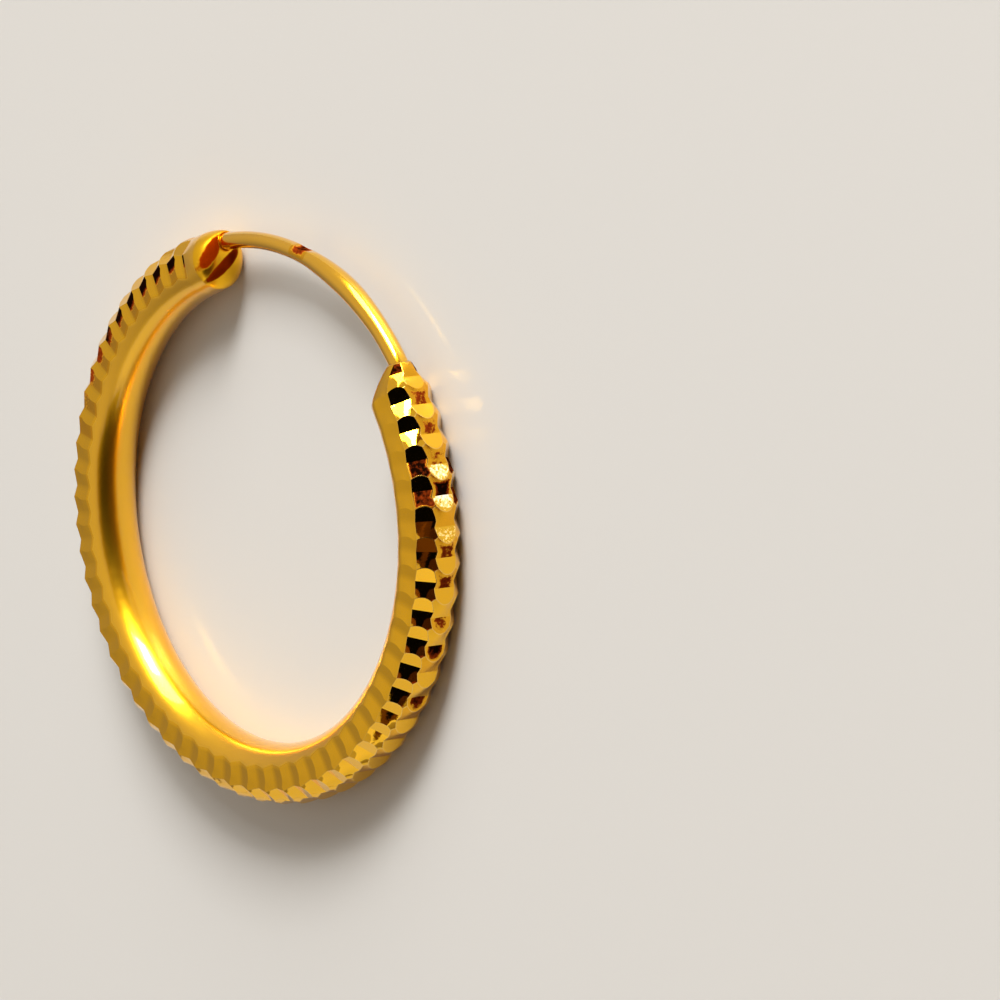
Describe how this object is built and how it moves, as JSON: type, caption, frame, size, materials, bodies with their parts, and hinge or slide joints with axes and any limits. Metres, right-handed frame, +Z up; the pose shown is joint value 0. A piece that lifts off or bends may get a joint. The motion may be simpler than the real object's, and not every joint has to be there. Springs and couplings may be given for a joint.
{
  "type": "hoop earring",
  "caption": "Round hoop earring of hollow diamond-cut gold-coloured tube with a thin ear wire across the opening, lying on its side.",
  "frame": {"origin": "on the surface the hoop rests on, under the centre of the ring", "axes": "+Z up, square to the ring's plane; +Y towards the opening that the ear wire bridges, which is up when the hoop is worn; +X towards the end where the wire is rooted"},
  "size_m": [0.025, 0.0249, 0.0026],
  "materials": {
    "cut_gold": "gold-plated, diamond-cut on the outside and polished on the inside",
    "wire_gold": "gold-plated drawn wire, polished"
  },
  "bodies": {
    "root": {"hoop_tube": "cut_gold", "ear_wire": "wire_gold"}
  },
  "joints": []
}
